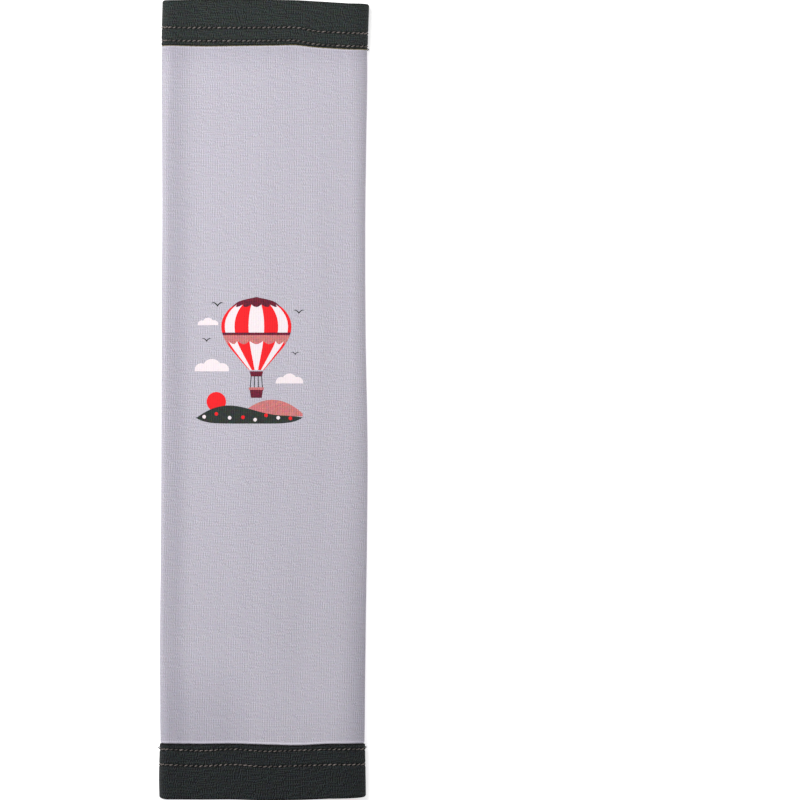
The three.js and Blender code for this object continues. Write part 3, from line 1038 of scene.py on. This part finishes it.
def plain_mesh_from(source, tree, inputs, name):
    """Runs a tree of geometry nodes on the object source and gives its result as a plain mesh piece."""
    modifier = source.modifiers.new("Nodes", "NODES")
    modifier.node_group = tree
    for socket in tree.interface.items_tree:
        if socket.in_out == "INPUT" and socket.name in inputs:
            modifier[socket.identifier] = inputs[socket.name]
    evaluated = source.evaluated_get(bpy.context.evaluated_depsgraph_get())
    mesh = bpy.data.meshes.new_from_object(evaluated)
    bpy.data.objects.remove(source)
    mesh.name = name
    piece = bpy.data.objects.new(name, mesh)
    bpy.context.scene.collection.objects.link(piece)
    return piece


def new_tree(name, inputs):
    """A tree of geometry nodes with named inputs, each given as (name, socket type)."""
    tree = bpy.data.node_groups.new(name, "GeometryNodeTree")
    tree.interface.new_socket("Geometry", in_out="INPUT", socket_type="NodeSocketGeometry")
    for input_name, kind in inputs:
        tree.interface.new_socket(input_name, in_out="INPUT", socket_type=kind)
    tree.interface.new_socket("Geometry", in_out="OUTPUT", socket_type="NodeSocketGeometry")
    return tree, Nodes(tree)


def thread_along(nodes, curve, thickness):
    """A round thread along a curve, with the attributes that its material reads."""
    spline = nodes.add("GeometryNodeSplineParameter")
    marked = nodes.add(
        "GeometryNodeStoreNamedAttribute", {"Geometry": curve, "Name": "lengthwise"}, data_type="FLOAT"
    )
    nodes.feed(marked.inputs["Value"], spline.outputs["Length"])
    radius = nodes.maths("MULTIPLY", thickness, 0.5)
    circle = nodes.add("GeometryNodeCurvePrimitiveCircle", {"Resolution": 6, "Radius": radius})
    profile = nodes.add(
        "GeometryNodeStoreNamedAttribute",
        {"Geometry": circle.outputs["Curve"], "Name": "round"},
        data_type="FLOAT",
    )
    nodes.feed(profile.inputs["Value"], nodes.add("GeometryNodeSplineParameter").outputs["Factor"])
    tube = nodes.add(
        "GeometryNodeCurveToMesh",
        {"Curve": marked.outputs[0], "Profile Curve": profile.outputs[0], "Fill Caps": True},
    )
    return tube.outputs["Mesh"]


def end_tree(nodes, geometry, material):
    """Realize Instances, Set Material and the tree's output."""
    real = nodes.add("GeometryNodeRealizeInstances", {"Geometry": geometry})
    smooth = nodes.add("GeometryNodeSetShadeSmooth", {"Geometry": real.outputs[0]})
    painted = nodes.add("GeometryNodeSetMaterial", {"Geometry": smooth.outputs[0], "Material": material})
    nodes.add("NodeGroupOutput", {"Geometry": painted.outputs[0]})


def stitch_tree():
    """One thread stitch on each point, which dips into the knit at both ends. The points hold the
    vectors run and outward."""
    tree, nodes = new_tree(
        "Cover stitches",
        [
            ("Stitch length", "NodeSocketFloat"),
            ("Thread thickness", "NodeSocketFloat"),
            ("Slant", "NodeSocketFloat"),
            ("Seed", "NodeSocketInt"),
            ("Thread", "NodeSocketMaterial"),
        ],
    )
    given = nodes.add("NodeGroupInput")
    half = nodes.maths("MULTIPLY", given.outputs["Stitch length"], 0.5)
    thickness = given.outputs["Thread thickness"]

    def point(along, up):
        x = nodes.maths("MULTIPLY", half, along)
        z = nodes.maths("MULTIPLY", thickness, up)
        return nodes.add("ShaderNodeCombineXYZ", {"X": x, "Z": z}).outputs[0]

    dip, rise = -1.1, 0.85
    arch = nodes.add(
        "GeometryNodeCurvePrimitiveBezierSegment",
        {
            "Resolution": 7,
            "Start": point(-1.0, dip),
            "Start Handle": point(-0.95, rise),
            "End Handle": point(0.95, rise),
            "End": point(1.0, dip),
        },
    )
    stitch = thread_along(nodes, arch.outputs["Curve"], thickness)

    def scatter(what, offset):
        low, high = STITCH_SCATTER[what]
        seed = nodes.maths("ADD", given.outputs["Seed"], offset)
        node = nodes.add("FunctionNodeRandomValue", data_type="FLOAT")
        sockets = {s.identifier: s for s in node.inputs}
        sockets["Min_001"].default_value = low
        sockets["Max_001"].default_value = high
        nodes.feed(sockets["Seed"], seed)
        return next(s for s in node.outputs if s.identifier == "Value_001")

    def vector(name):
        node = nodes.add("GeometryNodeInputNamedAttribute", {"Name": name}, data_type="FLOAT_VECTOR")
        return node.outputs["Attribute"]

    facing = nodes.add(
        "FunctionNodeAxesToRotation",
        {"Primary Axis": vector("outward"), "Secondary Axis": vector("run")},
        primary_axis="Z",
        secondary_axis="X",
    )
    turn = nodes.maths("ADD", given.outputs["Slant"], scatter("turn", 1))
    twist = nodes.add("FunctionNodeEulerToRotation")
    nodes.feed(twist.inputs[0], nodes.add("ShaderNodeCombineXYZ", {"Z": turn}).outputs[0])
    turned = nodes.add(
        "FunctionNodeRotateRotation",
        {"Rotation": facing.outputs[0], "Rotate By": twist.outputs[0]},
        rotation_space="LOCAL",
    )
    size = nodes.add(
        "ShaderNodeCombineXYZ", {"X": scatter("long", 2), "Y": scatter("wide", 3), "Z": scatter("high", 4)}
    )
    placed = nodes.add(
        "GeometryNodeInstanceOnPoints",
        {
            "Points": given.outputs["Geometry"],
            "Instance": stitch,
            "Rotation": turned.outputs[0],
            "Scale": size.outputs[0],
        },
    )
    toned = nodes.add(
        "GeometryNodeStoreNamedAttribute",
        {"Geometry": placed.outputs[0], "Name": "shade"},
        data_type="FLOAT",
        domain="INSTANCE",
    )
    nodes.feed(toned.inputs["Value"], scatter("shade", 5))
    end_tree(nodes, toned.outputs[0], given.outputs["Thread"])
    return tree


def thread_tree():
    """A round thread along each chain of edges, with soft bends."""
    tree, nodes = new_tree(
        "Loose thread", [("Thread thickness", "NodeSocketFloat"), ("Thread", "NodeSocketMaterial")]
    )
    given = nodes.add("NodeGroupInput")
    chain = nodes.add("GeometryNodeMeshToCurve", {"Mesh": given.outputs["Geometry"]})
    bent = nodes.add("GeometryNodeCurveSplineType", {"Curve": chain.outputs[0]}, spline_type="CATMULL_ROM")
    fine = nodes.add("GeometryNodeSetSplineResolution", {"Resolution": 4})
    nodes.feed(fine.inputs[0], bent.outputs[0])
    thread = thread_along(nodes, fine.outputs[0], given.outputs["Thread thickness"])
    end_tree(nodes, thread, given.outputs["Thread"])
    return tree


def points_object(name, points, vectors=None, edges=()):
    """Loose points, with vectors stored on them by name, and edges between them."""
    mesh = bpy.data.meshes.new(name)
    mesh.from_pydata(np.asarray(points).reshape(-1, 3).tolist(), list(edges), [])
    for vector_name, values in (vectors or {}).items():
        attribute = mesh.attributes.new(vector_name, "FLOAT_VECTOR", "POINT")
        attribute.data.foreach_set("vector", np.asarray(values, np.float32).ravel())
    source = bpy.data.objects.new(name, mesh)
    bpy.context.scene.collection.objects.link(source)
    return source


def closed_loop(points):
    """Edges that join the points in a ring."""
    return [(i, (i + 1) % len(points)) for i in range(len(points))]


def unit(vectors):
    return vectors / np.linalg.norm(vectors, axis=-1, keepdims=True)


class SLEEVE_OT_cover_stitches(bpy.types.Operator):
    """Make the two rows of cover stitching on each cuff"""

    bl_idname = "sleeve.cover_stitches"
    bl_label = "Cover stitches"

    def execute(self, context):
        sizes, stitching = context.scene.sleeve_sizes, context.scene.stitch_settings
        form = SleeveForm(sizes)
        tree = stitch_tree()
        thread = thread_material("Brown grey thread", tuple(context.scene.knit_settings.thread_colour))
        above = stitching.thread * 0.22
        for end in ENDS:
            rows = StitchRows(form, stitching, end)
            places, runs, outwards = [], [], []
            for row in ROWS:
                centre = rows.places(row, 0.5, above)
                places.append(centre)
                # Ways round go to the left on top, so a run from the next point to the one before
                # goes to the right, where the stitches rise.
                runs.append(unit(rows.places(row, 0.0, above) - rows.places(row, 1.0, above)))
                outwards.append(unit(rows.places(row, 0.5, above + 0.001) - centre))
            source = points_object(
                f"{end}_stitch_points",
                np.concatenate(places),
                {"run": np.concatenate(runs), "outward": np.concatenate(outwards)},
            )
            inputs = {
                "Stitch length": stitching.reach * rows.pitches[0],
                "Thread thickness": stitching.thread,
                "Slant": stitching.slant,
                "Seed": stitching.seed + (end == "lower"),
                "Thread": thread,
            }
            finish_piece(plain_mesh_from(source, tree, inputs, f"{end}_cuff_stitches"), thread)
        return {"FINISHED"}


class SLEEVE_OT_seam_threads(bpy.types.Operator):
    """Make the thread that zigzags inside each cuff, the edge thread of the upper seam and the thread
    ends at the side folds"""

    bl_idname = "sleeve.seam_threads"
    bl_label = "Seam threads"

    def execute(self, context):
        sizes, stitching = context.scene.sleeve_sizes, context.scene.stitch_settings
        knit = context.scene.knit_settings
        form = SleeveForm(sizes)
        tree = thread_tree()
        brown = bpy.data.materials["Brown grey thread"]
        olive = thread_material("Olive edge thread", tuple(knit.edge_thread_colour))
        dark = thread_material("Dark thread", opaque(knit.lower_cuff_colour, 1.3)[:3])

        def thread(name, points, edges, thickness, material):
            source = points_object(f"{name}_points", points, edges=edges)
            inputs = {"Thread thickness": thickness, "Thread": material}
            finish_piece(plain_mesh_from(source, tree, inputs, name), material)

        for end in ENDS:
            rows = StitchRows(form, stitching, end)
            inside = form.cuff_wall + stitching.thread * 0.4
            corners = []
            # Under each stitch the looper thread runs along one row, then crosses to the other.
            for row, shift in ((0, 0.0), (0, 0.35), (1, 0.5), (1, 0.85)):
                length = (np.arange(stitching.per_row) + shift) * rows.pitches[row]
                ring = form.ring(rows.ways[row].girth_at(length))
                corners.append(form.place(ring, rows.along(ring, row)[:, None], inside)[:, 0])
            zigzag = np.stack(corners, axis=1).reshape(-1, 3)
            thread(f"{end}_cuff_looper_thread", zigzag, closed_loop(zigzag), stitching.thread * 0.8, brown)

        # The edge thread winds in and out just below the upper seam.
        edge = WayRound(form, lambda ring: form.seam(ring, "upper"))
        steps, winding = 450, 0.0021
        length = np.arange(steps) / steps * edge.total
        turn = 2 * math.pi * length / winding
        ring = form.ring(edge.girth_at(length))
        along = form.seam(ring, "upper") - 0.00016 - 0.00004 * np.sin(turn)
        depth = 0.00022 + 0.00006 * np.cos(turn)
        points = form.place(ring, along[:, None], depth[:, None])[:, 0]
        thread("upper_seam_edge_thread", points, closed_loop(points), 0.00026, olive)

        # Each thread end stands out of the left fold at -1 or the right fold at 1.
        points, edges = [], []
        for end, side, from_seam in (("lower", -1, 1.9), ("lower", 1, 1.6), ("upper", 1, -0.1)):
            ring = form.ring(np.array([sum(form.stretches[: 5 if side < 0 else 2])]))
            along = float(form.seam(ring, end)[0]) + form.to_hem[end] * from_seam * MM
            edge_point = form.place(ring, np.array([[along]]), 0.0)[0, 0]
            start = len(points)
            for out, up, high in THREAD_END:
                points.append(edge_point + np.array([side * out, up, high]) * MM)
            edges += [(start + i, start + i + 1) for i in range(len(THREAD_END) - 1)]
        thread("seam_thread_ends", points, edges, 0.00036, dark)
        return {"FINISHED"}


class PrintSheet:
    """Gathers the shapes of the print by colour, and lays them on the sleeve as thin films. A shape is
    a grid of points, in millimetres from the print's middle. A film stands proud of the cloth, and more
    so for each level, and is rooted a little in it."""

    GRID_STEP = 1.2
    FILM_RISE = 0.05
    LEVEL_RISE = 0.02
    FILM_ROOT = 0.03

    def __init__(self, settings):
        self.middle = np.array([settings.middle_x, settings.middle_y])
        self.shapes = {}

    def add(self, colour, x, y, level=0):
        x, y = np.broadcast_arrays(x, y)
        area = (np.diff(x, axis=1)[:-1] * np.diff(y, axis=0)[:, :-1]).sum()
        area -= (np.diff(y, axis=1)[:-1] * np.diff(x, axis=0)[:, :-1]).sum()
        if area < 0:
            x, y = x[:, ::-1], y[:, ::-1]
        self.shapes.setdefault(colour, []).append((x, y, level))

    def between_sides(self, colour, left, right, y, level=0):
        """A shape between a left and a right line, given at heights y."""
        share = np.linspace(0, 1, 2 + int(np.max(right - left) / self.GRID_STEP))[None, :]
        self.add(colour, mix(left[:, None], right[:, None], share), y[:, None], level)

    def between_lines(self, colour, low, high, x, level=0):
        """A shape between a low and a high line, given at places x."""
        share = np.linspace(0, 1, 2 + int(np.max(high - low) / self.GRID_STEP))[:, None]
        self.add(colour, x[None, :], mix(low[None, :], high[None, :], share), level)

    def disc(self, colour, x, y, radius, level=0):
        rows = radius * np.sin(np.linspace(-0.497, 0.497, 25) * math.pi)
        half = np.sqrt(radius**2 - rows**2)
        self.between_sides(colour, x - half, x + half, y + rows, level)

    def lay(self, form, way, colour, material):
        vertices, faces, places = [], [], []
        for x, y, level in self.shapes[colour]:
            rows, columns = x.shape
            flat_x, flat_y = x * MM + self.middle[0], y * MM + self.middle[1]
            top, girth = form.top_point(flat_x, flat_y, -(self.FILM_RISE + self.LEVEL_RISE * level) * MM)
            bottom, _ = form.top_point(flat_x, flat_y, self.FILM_ROOT * MM)
            start = sum(len(v) for v in vertices)
            grid = start + np.arange(rows * columns).reshape(rows, columns)
            corners = [grid[:-1, :-1], grid[:-1, 1:], grid[1:, 1:], grid[1:, :-1]]
            quads = np.stack(corners, axis=-1).reshape(-1, 4)
            faces += [quads, quads[:, ::-1] + rows * columns]
            rim = np.concatenate([grid[0, :-1], grid[:-1, -1], grid[-1, :0:-1], grid[:0:-1, 0]])
            low_rim = rim + rows * columns
            following, low_following = np.roll(rim, -1), np.roll(low_rim, -1)
            faces.append(np.stack([rim, low_rim, low_following, following], axis=-1))
            vertices += [top.reshape(-1, 3), bottom.reshape(-1, 3)]
            knit_place = np.stack([way.length_at(girth), flat_y], axis=-1).reshape(-1, 2)
            places += [knit_place, knit_place]
        piece = new_piece(
            f"print_{colour}", np.concatenate(vertices), np.concatenate(faces), np.concatenate(places)
        )
        piece.data.set_sharp_from_angle(angle=math.radians(40))
        finish_piece(piece, material)


class SLEEVE_OT_print(bpy.types.Operator):
    """Make the print on the front: a hot air balloon over hills, with clouds and birds"""

    bl_idname = "sleeve.print"
    bl_label = "Print"

    def execute(self, context):
        form = SleeveForm(context.scene.sleeve_sizes)
        settings, knit = context.scene.print_settings, context.scene.knit_settings
        sheet = PrintSheet(settings)
        self.draw_balloon(sheet, x=3.0, top=26.0, height=30.0)
        self.draw_hills(sheet)
        self.draw_cloud(sheet, -15.5, -4.5, 15)
        self.draw_cloud(sheet, 16.5, -9.5, 12)
        self.draw_cloud(sheet, -17.0, 14.5, 9)
        for x, y, size in ((-13.0, 22.5, 1.0), (-17.5, 8.0, 0.8), (20.5, 19.5, 0.9), (19.0, 2.5, 0.7)):
            self.draw_bird(sheet, x, y, size)
        way = WayRound(form, lambda ring: 0 * ring.girth)
        for colour, contrast in PRINT_CONTRAST.items():
            material = print_material(f"Print {colour}", tuple(getattr(settings, colour)), knit, contrast)
            sheet.lay(form, way, colour, material)
        return {"FINISHED"}

    def draw_balloon(self, sheet, x, top, height):
        widths = smooth_curves(
            [
                {"at": 0.00, "half": 0.3},
                {"at": 0.04, "half": 5.6},
                {"at": 0.12, "half": 9.7},
                {"at": 0.24, "half": 13.0},
                {"at": 0.38, "half": 14.4},
                {"at": 0.50, "half": 14.0},
                {"at": 0.64, "half": 12.0},
                {"at": 0.80, "half": 8.2},
                {"at": 1.00, "half": 3.0},
            ],
            "at",
        )["half"]

        def panel(colour, low, high, left, right, level=0):
            """Part of the balloon between two angles. low and high are places down it, 0 at the top."""
            angle = np.linspace(left, right, 9)[None, :]
            share = np.linspace(0, 1, 26)[:, None]
            down = mix(np.broadcast_to(low, angle.shape), np.broadcast_to(high, angle.shape), share)
            sheet.add(colour, x + widths(down) * np.sin(angle), top - height * down, level)

        edges = np.radians(np.linspace(-90, 90, 8))
        arc = np.abs(np.sin(np.linspace(0, math.pi, 9)))[None, :]
        for i, colour in enumerate(["red", "white", "red", "white", "red", "white", "red"]):
            left, right = edges[i], edges[i + 1]
            panel(colour, 1.0, 0.0, left, right)
            panel("maroon", 0.10 + 0.035 * arc, 0.0, left, right, level=1)
            panel("salmon", 0.60 + 0.045 * arc, 0.50, left, right, level=1)
            panel("maroon", 0.52, 0.485, left, right, level=2)
        base = top - height
        y = np.linspace(base - 2.6, base - 0.5, 4)
        half = np.linspace(2.2, 2.8, 4)
        sheet.between_sides("maroon", x - half, x + half, y)
        basket_top = base - 7.2
        for side in (-1, -0.35, 0.35, 1):
            y = np.linspace(basket_top, base - 2.4, 5)
            line = x + side * np.linspace(2.5, 2.1, 5)
            sheet.between_sides("green", line - 0.18, line + 0.18, y)
        y = np.linspace(basket_top - 4.2, basket_top, 6)
        half = np.linspace(2.2, 2.9, 6)
        sheet.between_sides("maroon", x - half, x + half, y, level=1)
        y = np.linspace(basket_top - 0.9, basket_top + 0.1, 3)
        sheet.between_sides("salmon", x - 3.1 + 0 * y, x + 3.1 + 0 * y, y, level=2)

    def draw_hills(self, sheet):
        x = np.linspace(-22.6, 22.6, 70)
        front = -20.4 + 1.9 * np.cos((x + 9) / 6.8) - 3.4 * (x / 23) ** 4
        base = -26.0 + 3.2 * (x / 23) ** 6
        sheet.between_lines("green", base, np.maximum(front, base + 0.05), x, level=1)
        x = np.linspace(-3.0, 22.0, 40)
        back = -16.2 - 5.6 * ((x - 9.5) / 12.5) ** 2
        sheet.between_lines("salmon", -23.0 + 0 * x, np.maximum(back, -22.9), x)
        sheet.disc("red", -13.5, -17.0, 4.0)
        for x, y, colour in (
            (-18.5, -23.2, "white"), (-13.5, -22.0, "red"), (-8.0, -23.6, "white"), (-2.5, -23.4, "red"),
            (2.5, -24.4, "white"), (7.0, -22.6, "red"), (12.0, -23.6, "white"), (17.0, -23.8, "red"),
        ):
            sheet.disc(colour, x, y, 0.75, level=2)

    def draw_cloud(self, sheet, x, y, width):
        """A cloud with three rounded tops and a flat base."""
        size = width / 15
        bumps = [(-4.2, 0.6, 2.7), (0.2, 1.2, 3.9), (4.3, 0.4, 3.0)]
        across = np.linspace(-7.0, 7.2, 60)
        high = 0 * across + 0.08
        for middle, rise, radius in bumps:
            off = np.abs(across - middle)
            round_top = rise + np.sqrt(np.maximum(radius**2 - off**2, 0))
            high = np.maximum(high, np.where(off < radius, round_top, 0))
        sheet.between_lines("white", y + 0 * across, y + size * high, x + size * across)

    def draw_bird(self, sheet, x, y, size):
        """A bird seen from afar: two thin bowed wings."""
        across = np.linspace(-2.5, 2.5, 21)
        middle = 1.3 * np.sin(np.abs(across) / 2.5 * 2.3)
        thick = 0.42 * (1 - np.abs(across) / 2.8)
        low, high = y + size * (middle - thick), y + size * (middle + thick)
        sheet.between_lines("green", low, high, x + size * across)


class SLEEVE_OT_lay(bpy.types.Operator):
    """Build the sleeve's form from its sizes, and nothing more"""

    bl_idname = "sleeve.lay"
    bl_label = "Sheets of cloth"

    def execute(self, context):
        sizes = context.scene.sleeve_sizes
        form = SleeveForm(sizes)
        return {"FINISHED"}


class SLEEVE_OT_stage(bpy.types.Operator):
    """Make the pale floor, the soft lights and the camera straight above"""

    bl_idname = "sleeve.stage"
    bl_label = "Stage"

    def execute(self, context):
        scene, stage = context.scene, context.scene.stage_settings
        scene.view_settings.view_transform = "Standard"
        half = 6.0
        corners = [(-half, -half, 0), (half, -half, 0), (half, half, 0), (-half, half, 0)]
        mesh = bpy.data.meshes.new("floor")
        mesh.from_pydata(corners, [], [(0, 1, 2, 3)])
        floor = bpy.data.objects.new("floor", mesh)
        scene.collection.objects.link(floor)
        material, _, shader = new_material("Pale floor", 0.9, 0.0)
        shader.inputs["Base Color"].default_value = (0.93, 0.93, 0.93, 1)
        shader.inputs["Emission Color"].default_value = (1, 1, 1, 1)
        shader.inputs["Emission Strength"].default_value = 0.6
        floor.data.materials.append(material)

        world = bpy.data.worlds.new("Soft sky")
        world.use_nodes = True
        world.node_tree.nodes["Background"].inputs["Color"].default_value = (1, 1, 1, 1)
        world.node_tree.nodes["Background"].inputs["Strength"].default_value = stage.sky
        scene.world = world

        light = bpy.data.objects.new("key_light", bpy.data.lights.new("key_light", "AREA"))
        light.data.shape = "SQUARE"
        light.data.size = 0.45
        light.data.energy = stage.key_power
        light.location = (-0.2, 0.2, 0.62)
        light.rotation_euler = (-light.location).to_track_quat("-Z", "Y").to_euler()
        scene.collection.objects.link(light)

        camera = bpy.data.objects.new("camera", bpy.data.cameras.new("camera"))
        camera.data.lens = stage.lens
        camera.data.sensor_width = 36
        camera.data.clip_end = 50
        camera.location = (stage.camera_right, 0, stage.frame_width * stage.lens / camera.data.sensor_width)
        scene.collection.objects.link(camera)
        scene.camera = camera
        return {"FINISHED"}


class SLEEVE_PT_panel(bpy.types.Panel):
    """The sleeve's sizes and the steps that make it"""

    bl_label = "Arm Sleeve"
    bl_idname = "SLEEVE_PT_panel"
    bl_space_type = "VIEW_3D"
    bl_region_type = "UI"
    bl_category = "Arm Sleeve"

    def draw(self, context):
        for name in SETTINGS:
            group = getattr(context.scene, name)
            box = self.layout.box()
            for key in group.bl_rna.properties.keys():
                if key not in ("rna_type", "name"):
                    box.prop(group, key)
        for operator in OPERATORS:
            self.layout.operator(operator.bl_idname)


OPERATORS = [
    SLEEVE_OT_stage,
    SLEEVE_OT_tube,
    SLEEVE_OT_cuffs,
    SLEEVE_OT_cover_stitches,
    SLEEVE_OT_seam_threads,
    SLEEVE_OT_print,
    SLEEVE_OT_lay,
]
SETTINGS = {
    "sleeve_sizes": SleeveSizes,
    "stitch_settings": StitchSettings,
    "knit_settings": KnitSettings,
    "print_settings": PrintSettings,
    "stage_settings": StageSettings,
}


def register():
    for cls in (*SETTINGS.values(), *OPERATORS, SLEEVE_PT_panel):
        bpy.utils.register_class(cls)
    for name, cls in SETTINGS.items():
        setattr(bpy.types.Scene, name, bpy.props.PointerProperty(type=cls))


def unregister():
    for name in SETTINGS:
        delattr(bpy.types.Scene, name)
    for cls in (SLEEVE_PT_panel, *reversed(OPERATORS), *reversed(SETTINGS.values())):
        bpy.utils.unregister_class(cls)


def main():
    register()
    bpy.ops.sleeve.stage()
    bpy.ops.sleeve.tube()
    bpy.ops.sleeve.cuffs()
    bpy.ops.sleeve.cover_stitches()
    bpy.ops.sleeve.seam_threads()
    bpy.ops.sleeve.print()
    bpy.ops.sleeve.lay()


if __name__ == "__main__":
    main()
